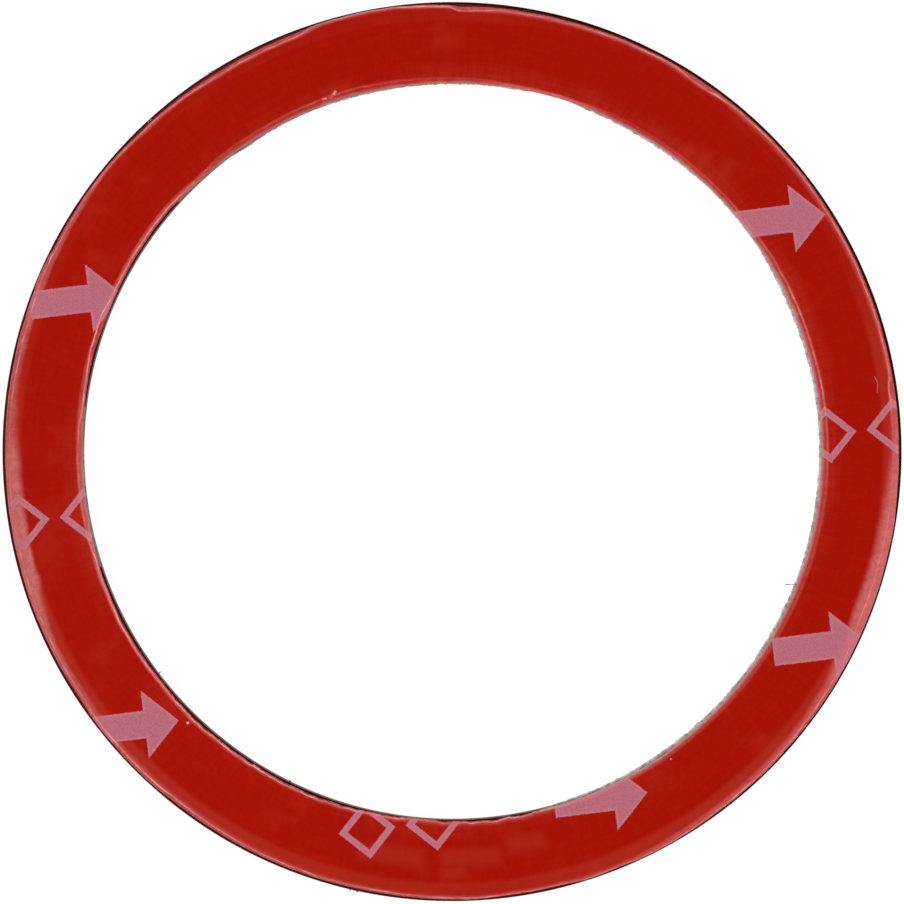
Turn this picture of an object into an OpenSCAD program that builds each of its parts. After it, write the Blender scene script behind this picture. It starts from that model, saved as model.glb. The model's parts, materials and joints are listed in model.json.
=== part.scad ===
// Stick-on ring plate for magnetic phone mounts.
// A stamped steel ring lies show face down. A die-cut ring of foam tape is stuck on its upper face,
// and a thin release film covers the tape until the plate is fitted.
// Millimetres, +Z up, origin at the middle of the face that the plate rests on.

/* [Steel ring] */
// Outside diameter of the steel ring
ring_od = 56; // [40:0.5:80]
// Width of the steel band between the outside and the hole
band_w = 5; // [3:0.25:10]
// Thickness of the steel sheet
steel_t = 0.5; // [0.3:0.05:1]
// Radius that the stamping tool leaves round the edges of the show face
roll_r = 0.12; // [0.05:0.01:0.2]
// Bevel left by deburring round the edges of the taped face
deburr = 0.03; // [0.01:0.01:0.08]

/* [Foam tape] */
// Thickness of the foam tape
tape_t = 0.4; // [0.25:0.05:0.8]
// How far the tape stays inside the outer edge of the steel
tape_outer_gap = 0.2; // [0.1:0.01:0.3]
// How far the tape stays outside the edge of the hole
tape_inner_gap = 0.07; // [0.06:0.01:0.2]
// Width of the shoulder that the cutting blade presses down along both edges of the tape
shoulder_w = 0.32; // [0.2:0.02:0.5]
// Depth of that shoulder at the edge
shoulder_drop = 0.07; // [0.02:0.01:0.12]
// How far the cut walls of the tape bow inwards
wall_bow = 0.05; // [0:0.01:0.1]

/* [Release film] */
// Thickness of the release film
film_t = 0.08; // [0.04:0.01:0.15]
// How far the film reaches past the outer edge of the tape
film_outer_lip = 0.02; // [0:0.01:0.08]
// How far the film reaches past the inner edge of the tape
film_inner_lip = 0.05; // [0:0.01:0.06]
// Width of the strip along each edge that has let go of the tape
loose_w = 0.3; // [0.2:0.02:0.5]
// How much higher the film stands where a loose edge has sprung up
lift_scale = 1; // [0.3:0.1:1.5]
// Number of cross-sections round the film
film_sections = 120; // [60:12:180]

/* [Hidden] */

// Circles are true circles wherever the shape is turned about the axis.
$fn = 180;
eps = 0.01;

ring_r = ring_od / 2;
bore_r = ring_r - band_w;

tape_outer_r = ring_r - tape_outer_gap;
tape_inner_r = bore_r + tape_inner_gap;
tape_bottom = steel_t;
tape_top = tape_bottom + tape_t;
wall_steps = 6;
shoulder_steps = 4;

film_outer_r = tape_outer_r + film_outer_lip;
film_inner_r = tape_inner_r - film_inner_lip;
// The film is stiffer than the foam: it droops by this share of the shoulder's drop, with air under it.
film_droop = 0.75;
film_air = 0.015;
// Places across a loose strip where the film is bent, from the stuck line to the free edge.
bend_stations = [0, 0.4, 0.75, 1];

// Loose stretches of the film's edges:
// [middle angle, half span, extra width of the loose strip, height of the edge above the shoulder]
outer_stretches = [
    [5, 6, -0.05, 0.09],
    [52, 44, 0.02, 0.05],
    [101, 8, -0.12, 0.03],
    [122, 14, 0.02, 0.05],
    [160, 18, 0.22, 0.1],
    [188, 15, 0.6, 0.16],
    [212, 10, 0.08, 0.05],
    [250, 25, 0.3, 0.1],
    [284, 12, -0.06, 0.02],
    [312, 18, 0.14, 0.08],
    [346, 15, 0.62, 0.17],
];
inner_stretches = [
    [158, 24, 0.1, 0.16],
    [208, 12, 0.02, 0.08],
    [238, 24, 0.08, 0.2],
    [271, 14, 0.02, 0.12],
];
// Places where the cut edge of the film strays from a true circle: [middle angle, half span, outwards]
outer_strays = [
    [20, 30, 0.02],
    [101, 8, 0.1],
    [185, 12, -0.08],
    [245, 24, -0.05],
    [290, 8, 0.05],
    [345, 30, 0.02],
];
inner_strays = [
    [90, 50, -0.015],
    [186, 10, -0.015],
    [242, 22, 0.05],
];

// Angle a measured from angle mid, the short way round
function turn_from(a, mid) = let (t = (a - mid) % 360) t > 180 ? t - 360 : t < -180 ? t + 360 : t;

// A soft hump: 1 at the middle of a stretch and 0 at its ends
function hump(a, stretch) =
    let (t = turn_from(a, stretch[0]) / stretch[1])
    abs(t) < 1 ? (1 + cos(180 * t)) / 2 : 0;

// Sum of one value over all stretches, each faded towards its ends
function faded(a, stretches, column, i = 0) =
    i == len(stretches) ? 0 : hump(a, stretches[i]) * stretches[i][column]
        + faded(a, stretches, column, i + 1);

// Drop of the tape's top at distance d in from its cut edge
function shoulder(d) = d >= shoulder_w ? 0 : shoulder_drop * (1 - sin(90 * max(d, 0) / shoulder_w));

// Points of a pressed shoulder, from the flat top to the cut edge; side is 1 outside and -1 inside
function shoulder_points(edge_r, side) = [
    for (i = [0 : shoulder_steps])
        let (d = shoulder_w * (1 - i / shoulder_steps))
        [edge_r - side * d, tape_top - shoulder(d)]
];

// Points of a cut wall from the shoulder down to the steel, bowed into the tape
function wall_points(edge_r, side) = [
    for (i = [1 : wall_steps])
        let (k = i / wall_steps)
        [edge_r - side * wall_bow * sin(180 * k), tape_top - shoulder_drop - k * (tape_t - shoulder_drop)]
];

function reversed(list) = [for (i = [len(list) - 1 : -1 : 0]) list[i]];

// Underside of the film along one edge, from the stuck line to the free edge, as [radius, height]
function loose_points(a, edge_r, tape_r, side, stretches, strays) =
    let (
        lip = side * (edge_r - tape_r),
        free_r = edge_r + faded(a, strays, 2),
        strip = loose_w + lip + faded(a, stretches, 2),
        lift = lift_scale * faded(a, stretches, 3)
    )
    [
        for (s = bend_stations)
            let (
                r = free_r - side * strip * (1 - s),
                droop = film_droop * shoulder(side * (tape_r - r)) * (1 - sprung(lift))
            )
            [r, s == 0 ? tape_top : tape_top - droop + film_air + lift * s * s]
    ];

// How far a lifted edge has left the shoulder: 0 where the film lies down, 1 where it stands up
function sprung(lift) = min(1, lift / shoulder_drop);

// One cross-section of the film at angle a: the underside from inside to outside, then the top back
function film_section(a) =
    let (
        inner = loose_points(a, film_inner_r, tape_inner_r, -1, inner_stretches, inner_strays),
        outer = loose_points(a, film_outer_r, tape_outer_r, 1, outer_stretches, outer_strays),
        under = concat(reversed(inner), outer),
        over = reversed([for (p = under) [p[0], p[1] + film_t]])
    )
    [for (p = concat(under, over)) [p[0] * cos(a), p[0] * sin(a), p[1]]];

// The sheared blank: rolled edges on the show face, a straight wall, a light bevel on the taped face
module steel_profile() {
    translate([bore_r, 0]) difference() {
        square([band_w, steel_t]);
        edge_cuts();
        translate([band_w, 0]) mirror([1, 0]) edge_cuts();
    }
}

// What stamping and deburring take off one edge, for an edge at x = 0 with the steel towards +x
module edge_cuts() {
    difference() {
        translate([-eps, -eps]) square(roll_r + eps);
        translate([roll_r, roll_r]) circle(r = roll_r, $fn = 32);
    }
    polygon([
        [-eps, steel_t + eps],
        [deburr + eps, steel_t + eps],
        [-eps, steel_t - deburr - eps],
    ]);
}

// Stamped ring of sheet steel, show face down
module steel_ring() {
    color([0.07, 0.07, 0.075]) rotate_extrude() steel_profile();
}

// Die-cut ring of foam tape: shoulders pressed down by the blade, cut walls bowed in
module foam_tape() {
    outline = concat(
        shoulder_points(tape_outer_r, 1),
        wall_points(tape_outer_r, 1),
        reversed(wall_points(tape_inner_r, -1)),
        reversed(shoulder_points(tape_inner_r, -1))
    );
    color([0.13, 0.12, 0.12]) rotate_extrude() polygon(outline);
}

// Release film: lies on the tape's flat top, with edges that droop over the shoulders or spring up
module release_liner() {
    sections = [for (i = [0 : film_sections - 1]) film_section(i * 360 / film_sections)];
    per = len(sections[0]);
    points = [for (s = sections) each s];
    faces = [
        for (i = [0 : film_sections - 1], j = [0 : per - 1])
            let (
                here = i * per,
                there = ((i + 1) % film_sections) * per,
                k = (j + 1) % per
            )
            each [
                [here + j, here + k, there + k],
                [here + j, there + k, there + j],
            ]
    ];
    color([0.7, 0.09, 0.05]) polyhedron(points = points, faces = faces, convexity = 6);
}

steel_ring();
foam_tape();
release_liner();
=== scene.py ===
import json
import math

import bpy
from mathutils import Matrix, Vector, noise


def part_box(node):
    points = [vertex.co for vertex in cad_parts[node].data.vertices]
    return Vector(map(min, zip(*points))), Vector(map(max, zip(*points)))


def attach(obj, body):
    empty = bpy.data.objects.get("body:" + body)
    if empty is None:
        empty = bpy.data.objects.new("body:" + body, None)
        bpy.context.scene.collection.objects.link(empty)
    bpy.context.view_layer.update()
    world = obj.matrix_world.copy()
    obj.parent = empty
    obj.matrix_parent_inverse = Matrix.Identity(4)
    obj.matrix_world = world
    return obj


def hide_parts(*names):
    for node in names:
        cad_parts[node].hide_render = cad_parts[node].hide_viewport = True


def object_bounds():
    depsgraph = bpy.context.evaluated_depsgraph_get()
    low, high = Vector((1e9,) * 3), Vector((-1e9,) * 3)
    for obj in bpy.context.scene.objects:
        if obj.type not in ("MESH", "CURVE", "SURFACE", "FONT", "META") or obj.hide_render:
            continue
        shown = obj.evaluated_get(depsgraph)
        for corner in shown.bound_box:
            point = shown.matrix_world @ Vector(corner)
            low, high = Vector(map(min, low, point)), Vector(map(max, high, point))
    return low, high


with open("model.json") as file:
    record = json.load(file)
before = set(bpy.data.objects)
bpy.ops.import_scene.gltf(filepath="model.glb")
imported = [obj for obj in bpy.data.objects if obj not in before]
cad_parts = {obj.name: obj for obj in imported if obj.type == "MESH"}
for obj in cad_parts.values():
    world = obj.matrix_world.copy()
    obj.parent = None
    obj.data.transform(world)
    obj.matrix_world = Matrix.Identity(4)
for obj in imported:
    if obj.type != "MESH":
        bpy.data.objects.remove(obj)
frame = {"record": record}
cad_low, cad_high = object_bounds()

# Sizes of the part from the frame, in metres
MM = 0.001
mounts = {mount["name"]: mount for mount in frame["record"]["mounts"]}
bore_r = mounts["centre_bore"]["dims"]["r_mm"] * MM
steel_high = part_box("steel_ring")[1]
ring_r = steel_high.x
steel_top = steel_high.z
tape_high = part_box("foam_tape")[1]
tape_top = tape_high.z
tape_outer_r = tape_high.x

# Sizes of the finish, as they are on the real thing, in millimetres
TAPE_SETBACK = 0.07
SHOULDER_WIDTH = 0.32
SHOULDER_DROP = 0.07
WALL_BOW = 0.05
ROLL_RADIUS = 0.12
DEBURR = 0.03
# How far the wall of the hole leans inwards, from the taped face down to the show face
HOLE_LEAN = 0.045
FILM_THICKNESS = 0.08
FILM_OUTER_REACH = 0.01
FILM_INNER_REACH = 0.05
FILM_AIR = 0.015
# How far off the ring's middle the photographed plate's hole was punched
HOLE_SHIFT = 0.02, 0.055
# Radii at which the foam and the film are cut
TAPE_INNER_CUT = bore_r / MM + TAPE_SETBACK
FILM_CUTS = {
    "outer": tape_outer_r / MM + FILM_OUTER_REACH,
    "inner": bore_r / MM + TAPE_SETBACK - FILM_INNER_REACH,
}

# How finely the rings are divided
FILM_AROUND = 1440
TAPE_AROUND = 1080
STEEL_AROUND = 720
FRINGE_AROUND = 3600

# Values that change round the ring, as (angle in degrees, value), read counter-clockwise from the right.
# The film's outer edge strays outwards by this much, in millimetres.
OUTER_STRAY = (
    (0, -0.06), (8, -0.05), (20, -0.06), (30, -0.05), (40, -0.035), (50, -0.05), (60, -0.06), (66, -0.085),
    (72, -0.1), (84, -0.115), (88.8, -0.16), (90.5, -0.07), (94, 0), (98, 0.05), (107, 0.04), (111, -0.1),
    (123, -0.13), (134, -0.08), (142, 0), (147, -0.02), (152.5, -0.05), (154.5, 0.03), (157.5, 0.03),
    (159.5, -0.02), (165, -0.03), (172, -0.06), (182, -0.1), (190, -0.08), (200, -0.06), (213, -0.08),
    (218, 0.01), (222, 0), (228, 0), (232, -0.06), (240, -0.06), (250, -0.04), (260, -0.06), (268, -0.01),
    (273, 0.03), (277, -0.04), (284, -0.05), (287, 0.04), (291, 0.02), (295, 0.05), (301, 0.05), (306, 0),
    (322, 0), (346, 0), (350, 0.02), (354, -0.05),
)
# The inner edge strays away from the hole by this much.
INNER_STRAY = (
    (0, -0.05), (20, -0.1), (34, -0.12), (50, -0.16), (62, -0.18), (75, -0.155), (90, -0.2), (100, -0.18),
    (108, -0.09), (114, -0.13), (120, -0.14), (130, -0.06), (134, -0.06), (140, 0.04), (150, 0.01),
    (156, -0.01), (159, -0.05), (165, 0.04), (170, -0.01), (178, -0.07), (194, -0.04), (199, 0.04),
    (204, 0.07), (208, 0.07), (213, 0.04), (219, 0), (223, 0.06), (228, 0.09), (231, 0.01), (233, 0.05),
    (235.5, 0), (236.8, 0.08), (238, 0.03), (243.5, 0.08), (246, 0.02), (248.5, 0.07), (252, 0.02),
    (256, 0.03), (261, -0.03), (266, -0.11), (269, 0), (271.6, -0.02), (273.5, 0.05), (275, 0),
    (276.5, 0.06), (278.4, -0.03), (281.5, 0.06), (283, 0), (286, -0.03), (296, -0.02), (304, -0.02),
    (312, -0.06), (336, -0.03), (350, -0.02),
)
# Ragged cut of the film's edges, as the height of the jags
OUTER_RAG = ((0, 0.015), (90, 0.02), (150, 0.026), (200, 0.02), (260, 0.018), (320, 0.015))
INNER_RAG = (
    (0, 0.02), (60, 0.02), (120, 0.024), (150, 0.016), (200, 0.026), (222, 0.04), (255, 0.05),
    (283, 0.06), (287, 0.02),
)
# Width of the strip of film that has let go of the tape, from the edge inwards
OUTER_LOOSE = (
    (0, 0.42), (8, 0.38), (10, 0.27), (30, 0.32), (45, 0.31), (52, 0.28), (56, 0.4), (62, 0.24), (78, 0.29),
    (84, 0.32), (88.8, 0.37), (90.5, 0.19), (94, 0.23), (97, 0.16), (106, 0.18), (111, 0.33), (122, 0.33),
    (127, 0.21), (130, 0.23), (133, 0.28), (136, 0.22), (140, 0.2), (150, 0.36), (158, 0.5), (165, 0.5),
    (170, 0.42), (176, 0.52), (182, 0.85), (188, 0.95), (196, 0.9), (201, 0.62), (206, 0.4), (214, 0.48),
    (224, 0.36), (235, 0.33), (244, 0.26), (250, 0.22), (268, 0.2), (276, 0.17), (292, 0.2), (300, 0.33),
    (312, 0.36), (322, 0.4), (327, 0.5), (333, 0.72), (339, 0.92), (350, 0.82), (357, 0.58),
)
INNER_LOOSE = (
    (0, 0.38), (28, 0.36), (40, 0.22), (90, 0.2), (128, 0.24), (140, 0.36), (178, 0.38), (196, 0.28),
    (210, 0.26), (255, 0.22), (283, 0.24), (305, 0.26), (330, 0.34), (345, 0.38),
)
# How soft the line is where the film lets go
OUTER_SOFT = (
    (0, 0.3), (9, 0.14), (30, 0.2), (84, 0.16), (90, 0.1), (98, 0.12), (106, 0.12), (140, 0.1), (160, 0.15),
    (170, 0.25), (178, 0.4), (186, 0.3), (194, 0.15), (199, 0.3), (206, 0.15), (215, 0.2), (240, 0.2),
    (270, 0.15), (300, 0.12), (320, 0.2), (335, 0.25), (350, 0.28), (356, 0.36),
)
INNER_SOFT = ((0, 0.1), (60, 0.1), (150, 0.1), (210, 0.1), (290, 0.18), (340, 0.12))
# How pale the loose film is painted, as the reflection of the air gap under it
OUTER_PALE = (
    (0, 0.58), (9, 0.36), (40, 0.33), (62, 0.4), (90, 0.4), (100, 0.28), (112, 0.42), (150, 0.46),
    (160, 0.62), (170, 0.6), (176, 0.62), (182, 0.88), (198, 0.85), (206, 0.68), (213, 0.5), (235, 0.42),
    (250, 0.35), (270, 0.3), (290, 0.3), (300, 0.4), (325, 0.46), (333, 0.62), (340, 0.72), (350, 0.7),
    (356, 0.66),
)
INNER_PALE = (
    (0, 0.17), (40, 0.14), (60, 0.12), (130, 0.25), (145, 0.44), (156, 0.4), (160, 0.2), (170, 0.22),
    (176, 0.35), (184, 0.42), (196, 0.42), (215, 0.33), (280, 0.28), (300, 0.2), (320, 0.22), (340, 0.2),
)
# How strong the painted sheen is: a lighter red next to the film's edge, standing in for soft reflections on
# the gloss
OUTER_SHEEN = (
    (0, 0.8), (14, 0.9), (20, 0.5), (26, 0.15), (70, 0.02), (88, 0.3), (95, 0.2), (140, 0.1), (165, 0.3),
    (175, 0.7), (200, 1), (206, 0.9), (230, 0.85), (250, 0.75), (262, 0.6), (276, 0.5), (290, 0.75),
    (312, 0.85), (325, 0.8), (340, 0.7), (350, 0.8),
)
INNER_SHEEN = (
    (0, 0.8), (30, 0.75), (38, 0.5), (46, 0.8), (54, 0.8), (62, 0.5), (84, 0.6), (90, 0.6), (100, 0.2),
    (125, 0.3), (135, 0.1), (150, 0.15), (170, 0.1), (178, 0.4), (185, 0.9), (194, 0.9), (201, 0.6),
    (207, 0.1), (216, 0.1), (221, 0.5), (227, 0.1), (250, 0.1), (258, 0.4), (270, 0.5), (280, 0.2),
    (292, 0.5), (302, 0.3), (308, 0.1), (338, 0.2), (346, 0.5),
)
# How strong the painted grey reflection is along the very edge of the film
OUTER_EDGE_REFLECTION = ((0, 0), (92, 0), (98, 0.3), (107, 0.3), (111, 0), (340, 0))
INNER_EDGE_REFLECTION = (
    (0, 0.6), (25, 0.62), (40, 0.68), (56, 0.62), (75, 0.5), (90, 0.6), (104, 0.5), (125, 0.52), (133, 0.4),
    (140, 0), (178, 0.2), (184, 0.6), (192, 0.5), (198, 0), (283, 0), (287, 0.9), (322, 0.9), (336, 0.66),
)
# How far torn adhesive reaches into the hole
FRINGE_REACH = (
    (0, 0.17), (10, 0.19), (25, 0.24), (36, 0.16), (45, 0.17), (50, 0.23), (57, 0.25), (66, 0.23), (74, 0.06),
    (80, 0.18), (90, 0.2), (104, 0.19), (114, 0.12), (119, 0.14), (124, 0.19), (130, 0.04), (140, 0),
    (172, 0), (177, 0.04), (184, 0.09), (194, 0.08), (199, 0), (283, 0), (287, 0.13), (300, 0.16),
    (307, 0.2), (318, 0.17), (332, 0.18), (344, 0.15), (350, 0.2),
)
# Place of the crease, in from the edge, and how bright its painted highlight is
OUTER_CREASE = (
    (0, 0.36), (8, 0.36), (10.5, 0.15), (30, 0.14), (38, 0.12), (50, 0.12), (56, 0.3), (60, 0.1), (78, 0.14),
    (84, 0.15), (86, 0.25), (88.8, 0.3), (90.5, 0.1), (94, 0.1), (98, 0.04), (107, 0.03), (111, 0.2),
    (122, 0.17), (130, 0.1), (146, 0.09), (152, 0.14), (164, 0.24), (176, 0.2), (206, 0.18), (232, 0.17),
    (244, 0.1), (262, 0.08), (286, 0.04), (300, 0.06), (316, 0.09), (322, 0.14), (330, 0.2), (338, 0.42),
    (350, 0.4), (356, 0.34),
)
OUTER_GLEAM = (
    (0, 0.25), (6, 0.4), (9, 0.7), (14, 0.5), (45, 0.48), (60, 0.6), (80, 0.45), (88.8, 0.5), (90.5, 0.95),
    (94, 0.9), (98, 0.45), (106, 0.45), (112, 0.55), (130, 0.55), (142, 0.5), (150, 0.45), (155, 0.6),
    (168, 0.5), (178, 0.35), (194, 0.5), (214, 0.55), (232, 0.9), (240, 0.78), (265, 0.6), (290, 0.42),
    (300, 0.5), (312, 0.62), (322, 0.5), (330, 0.4), (346, 0.45), (354, 0.3),
)
INNER_CREASE = (
    (0, 0.33), (25, 0.29), (45, 0.26), (62, 0.26), (72, 0.14), (80, 0.14), (88, 0.27), (105, 0.34),
    (128, 0.32), (134, 0.16), (140, 0.14), (156, 0.16), (159, 0.36), (163, 0.26), (169, 0.12), (173, 0.1),
    (177, 0.28), (192, 0.3), (198, 0.1), (210, 0.1), (225, 0.05), (284, 0.05), (292, 0.18), (315, 0.24),
    (340, 0.33),
)
INNER_GLEAM = (
    (0, 0.34), (10, 0.5), (25, 0.5), (40, 0.34), (62, 0.2), (75, 0.42), (88, 0.22), (110, 0.36), (128, 0.26),
    (140, 0.7), (172, 0.7), (177, 0.35), (192, 0.4), (198, 0.6), (210, 0.6), (218, 0.8), (260, 0.75),
    (266, 0.5), (283, 0.7), (292, 0.3), (320, 0.12), (345, 0.18),
)
# How high the film's edges have sprung up. Where this is 0 the edge lies down over the tape's shoulder.
OUTER_SPRUNG = (
    (0, 0.1), (10, 0.04), (50, 0.05), (90, 0.05), (101, 0.02), (112, 0.06), (140, 0.04), (160, 0.08),
    (180, 0.14), (190, 0.16), (200, 0.1), (215, 0.05), (240, 0.09), (262, 0.08), (280, 0.02), (296, 0.02),
    (312, 0.07), (335, 0.14), (346, 0.17), (356, 0.13),
)
INNER_SPRUNG = (
    (0, 0), (132, 0), (142, 0.1), (158, 0.15), (172, 0.1), (184, 0.02), (200, 0.06), (222, 0.14),
    (240, 0.19), (258, 0.14), (272, 0.12), (284, 0.02), (290, 0),
)
# All that changes round the film, edge by edge
FILM_EDGES = {
    "outer": {
        "stray": OUTER_STRAY, "rag": OUTER_RAG, "loose": OUTER_LOOSE, "soft": OUTER_SOFT,
        "pale": OUTER_PALE, "sheen": OUTER_SHEEN, "edge_reflection": OUTER_EDGE_REFLECTION, "crease": OUTER_CREASE,
        "gleam": OUTER_GLEAM, "sprung": OUTER_SPRUNG,
    },
    "inner": {
        "stray": INNER_STRAY, "rag": INNER_RAG, "loose": INNER_LOOSE, "soft": INNER_SOFT,
        "pale": INNER_PALE, "sheen": INNER_SHEEN, "edge_reflection": INNER_EDGE_REFLECTION, "crease": INNER_CREASE,
        "gleam": INNER_GLEAM, "sprung": INNER_SPRUNG,
    },
}

# Step in degrees and seed of each kind of jags
EDGE_JAGS = {"outer": (2.6, 3.0), "inner": (2.6, 11.0)}
LOOSE_JAGS = 2.3, 23.0
COARSE_TEARS = 0.9, 61.0
FINE_TEARS = 0.3, 83.0
TIP_JAGS = 0.6, 97.0


def smooth(t):
    t = min(1.0, max(0.0, t))
    return t * t * (3 - 2 * t)


def polar(place):
    """Angle in degrees and distance from the axis in millimetres."""
    return math.degrees(math.atan2(place.y, place.x)) % 360, math.hypot(place.x, place.y) / MM


def around(degrees, stops):
    """A value from a list of stops round the ring, eased between them."""
    degrees %= 360
    before = stops[-1][0] - 360, stops[-1][1]
    for stop in stops + ((stops[0][0] + 360, stops[0][1]),):
        if degrees < stop[0]:
            share = (degrees - before[0]) / (stop[0] - before[0])
            return before[1] + (stop[1] - before[1]) * smooth(share)
        before = stop
    return before[1]


def rag(degrees, step, seed):
    """Jags along a cut edge, from -1 to 1, with one every few steps of that many degrees."""
    a = math.radians(degrees)
    k = 1 / math.radians(step)
    value = 0
    for times, share in ((1, 1.4), (3.1, 0.6), (6.3, 0.4)):
        value += share * noise.noise(Vector((math.cos(a) * k * times, math.sin(a) * k * times, seed + times)))
    return value


def shoulder(inside_mm):
    """Drop of the tape's top at a distance in from its cut edge, in millimetres."""
    share = min(1.0, max(0.0, inside_mm / SHOULDER_WIDTH))
    return SHOULDER_DROP * (1 - math.sin(math.pi / 2 * share))


# Modelling by hand

def settle():
    """Puts the piece's place, turn and size into its mesh."""
    bpy.ops.object.transform_apply(location=True, rotation=True, scale=True)


def start_ring(name, count, radius, height):
    bpy.ops.object.select_all(action="DESELECT")
    bpy.ops.mesh.primitive_circle_add(
        vertices=count, radius=radius, fill_type="NOTHING", location=(0, 0, height)
    )
    piece = bpy.context.object
    piece.name = piece.data.name = name
    settle()
    bpy.ops.object.mode_set(mode="EDIT")
    bpy.ops.mesh.select_all(action="SELECT")
    return piece


def next_ring(radius_before, height_before, radius, height):
    """Extrudes the selected edge loop to a new radius and height."""
    bpy.ops.mesh.extrude_region_move(
        TRANSFORM_OT_translate={"value": (0, 0, height - height_before)}
    )
    k = radius / radius_before
    bpy.ops.transform.resize(value=(k, k, 1), center_override=(0, 0, height))


def sweep_rings(name, count, profile, closed):
    """A piece swept round the axis, through (radius, height) pairs, closed at the last pair if asked."""
    piece = start_ring(name, count, *profile[0])
    for before, after in zip(profile, profile[1:]):
        next_ring(*before, *after)
    if closed:
        bpy.ops.mesh.select_all(action="DESELECT")
        bpy.ops.mesh.select_mode(type="EDGE")
        bpy.ops.mesh.select_non_manifold(extend=False)
        bpy.ops.mesh.bridge_edge_loops()
    bpy.ops.mesh.select_all(action="SELECT")
    bpy.ops.mesh.remove_doubles(threshold=1e-7)
    bpy.ops.mesh.normals_make_consistent(inside=False)
    bpy.ops.object.mode_set(mode="OBJECT")
    return piece


def shift_hole(piece):
    """Moves what lies round the hole off the ring's middle, less and less towards the rim."""
    for vertex in piece.data.vertices:
        share = smooth((ring_r - math.hypot(vertex.co.x, vertex.co.y)) / (ring_r - bore_r))
        vertex.co.x += HOLE_SHIFT[0] * MM * share
        vertex.co.y += HOLE_SHIFT[1] * MM * share


def select_only(piece):
    bpy.ops.object.select_all(action="DESELECT")
    piece.select_set(True)
    bpy.context.view_layer.objects.active = piece


def give_thickness(piece, thickness):
    """Thickens a sheet upwards from where it lies."""
    select_only(piece)
    modifier = piece.modifiers.new("Solidify", "SOLIDIFY")
    modifier.thickness = thickness
    modifier.offset = 1.0
    modifier.use_even_offset = False
    bpy.ops.object.modifier_apply(modifier=modifier.name)


def smooth_shading(piece, degrees):
    select_only(piece)
    bpy.ops.object.shade_smooth_by_angle(angle=math.radians(degrees))


def dress(piece, finish, slot_name, *nodes):
    piece.data.materials.append(finish)
    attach(piece, "root")
    if nodes:
        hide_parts(*nodes)


# Node helpers

class Finish:
    """A material or a node group that is being wired."""

    def __init__(self, tree):
        self.tree = tree
        self.nodes = tree.nodes

    def add(self, kind, **settings):
        node = self.nodes.new(kind)
        for key, value in settings.items():
            setattr(node, key, value)
        return node

    def join(self, source, target):
        self.tree.links.new(source, target)

    def feed(self, socket, value):
        if isinstance(value, bpy.types.NodeSocket):
            self.join(value, socket)
        else:
            socket.default_value = value

    def math(self, operation, *values, clamp=False):
        node = self.add("ShaderNodeMath", operation=operation, use_clamp=clamp)
        for socket, value in zip(node.inputs, values):
            self.feed(socket, value)
        return node.outputs[0]

    def vector(self, operation, *values):
        node = self.add("ShaderNodeVectorMath", operation=operation)
        for socket, value in zip(node.inputs, values):
            self.feed(socket, value)
        return node

    def scaled(self, place, by):
        return self.vector("MULTIPLY", place, by).outputs[0]

    def turned(self, place, angle):
        """A place turned about the Z axis."""
        node = self.add("ShaderNodeVectorRotate", rotation_type="Z_AXIS")
        self.feed(node.inputs["Vector"], place)
        self.feed(node.inputs["Angle"], angle)
        return node.outputs[0]

    def split(self, place):
        """The X, Y and Z of a place."""
        node = self.add("ShaderNodeSeparateXYZ")
        self.join(place, node.inputs[0])
        return node.outputs

    def split_colour(self, colour):
        node = self.add("ShaderNodeSeparateColor")
        self.join(colour, node.inputs[0])
        return node.outputs

    def ramp(self, value, low, high, to_low=0.0, to_high=1.0):
        """A smooth step between two values."""
        node = self.add("ShaderNodeMapRange", interpolation_type="SMOOTHSTEP", clamp=True)
        for name, item in zip(
            ("Value", "From Min", "From Max", "To Min", "To Max"), (value, low, high, to_low, to_high)
        ):
            self.feed(node.inputs[name], item)
        return node.outputs["Result"]

    def blend(self, share, below, above):
        node = self.add("ShaderNodeMix", data_type="RGBA", clamp_factor=True)
        self.feed(node.inputs["Factor"], share)
        self.feed(node.inputs[6], below)
        self.feed(node.inputs[7], above)
        return node.outputs[2]

    def grain(self, place, scale, detail=3.0, roughness=0.5):
        node = self.add("ShaderNodeTexNoise")
        self.feed(node.inputs["Vector"], place)
        self.feed(node.inputs["Scale"], scale)
        self.feed(node.inputs["Detail"], detail)
        self.feed(node.inputs["Roughness"], roughness)
        return node.outputs["Fac"]

    def attribute(self, name, output="Fac"):
        return self.add("ShaderNodeAttribute", attribute_name=name).outputs[output]

    def bump(self, shader, height, strength, distance):
        """Fine relief, with the distance in metres from its lowest to its highest."""
        node = self.add("ShaderNodeBump")
        node.inputs["Strength"].default_value = strength
        node.inputs["Distance"].default_value = distance
        self.join(height, node.inputs["Height"])
        self.join(node.outputs[0], shader.inputs["Normal"])

    def mix_to(self, output, share, first, second):
        """Sends two shaders to the output, with the share of the second."""
        node = self.add("ShaderNodeMixShader")
        for socket, source in zip(node.inputs, (share, first.outputs[0], second.outputs[0])):
            self.join(source, socket)
        self.join(node.outputs[0], output.inputs["Surface"])


def new_material(name):
    """A material with its wiring, its shader, and the place on the piece that its patterns follow."""
    material = bpy.data.materials.new(name)
    material.use_nodes = True
    finish = Finish(material.node_tree)
    finish.nodes.clear()
    output = finish.add("ShaderNodeOutputMaterial")
    shader = finish.add("ShaderNodeBsdfPrincipled")
    finish.join(shader.outputs[0], output.inputs["Surface"])
    return material, finish, shader, finish.add("ShaderNodeTexCoord").outputs["Object"]


def new_group(name, inputs, outputs):
    """A node group with sockets given as (name, kind, default) and (name, kind)."""
    tree = bpy.data.node_groups.new(name, "ShaderNodeTree")
    for label, kind, default in inputs:
        socket = tree.interface.new_socket(label, in_out="INPUT", socket_type="NodeSocket" + kind)
        if default is not None:
            socket.default_value = default
    for label, kind in outputs:
        tree.interface.new_socket(label, in_out="OUTPUT", socket_type="NodeSocket" + kind)
    finish = Finish(tree)
    return tree, finish, finish.add("NodeGroupInput").outputs, finish.add("NodeGroupOutput").inputs


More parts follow.
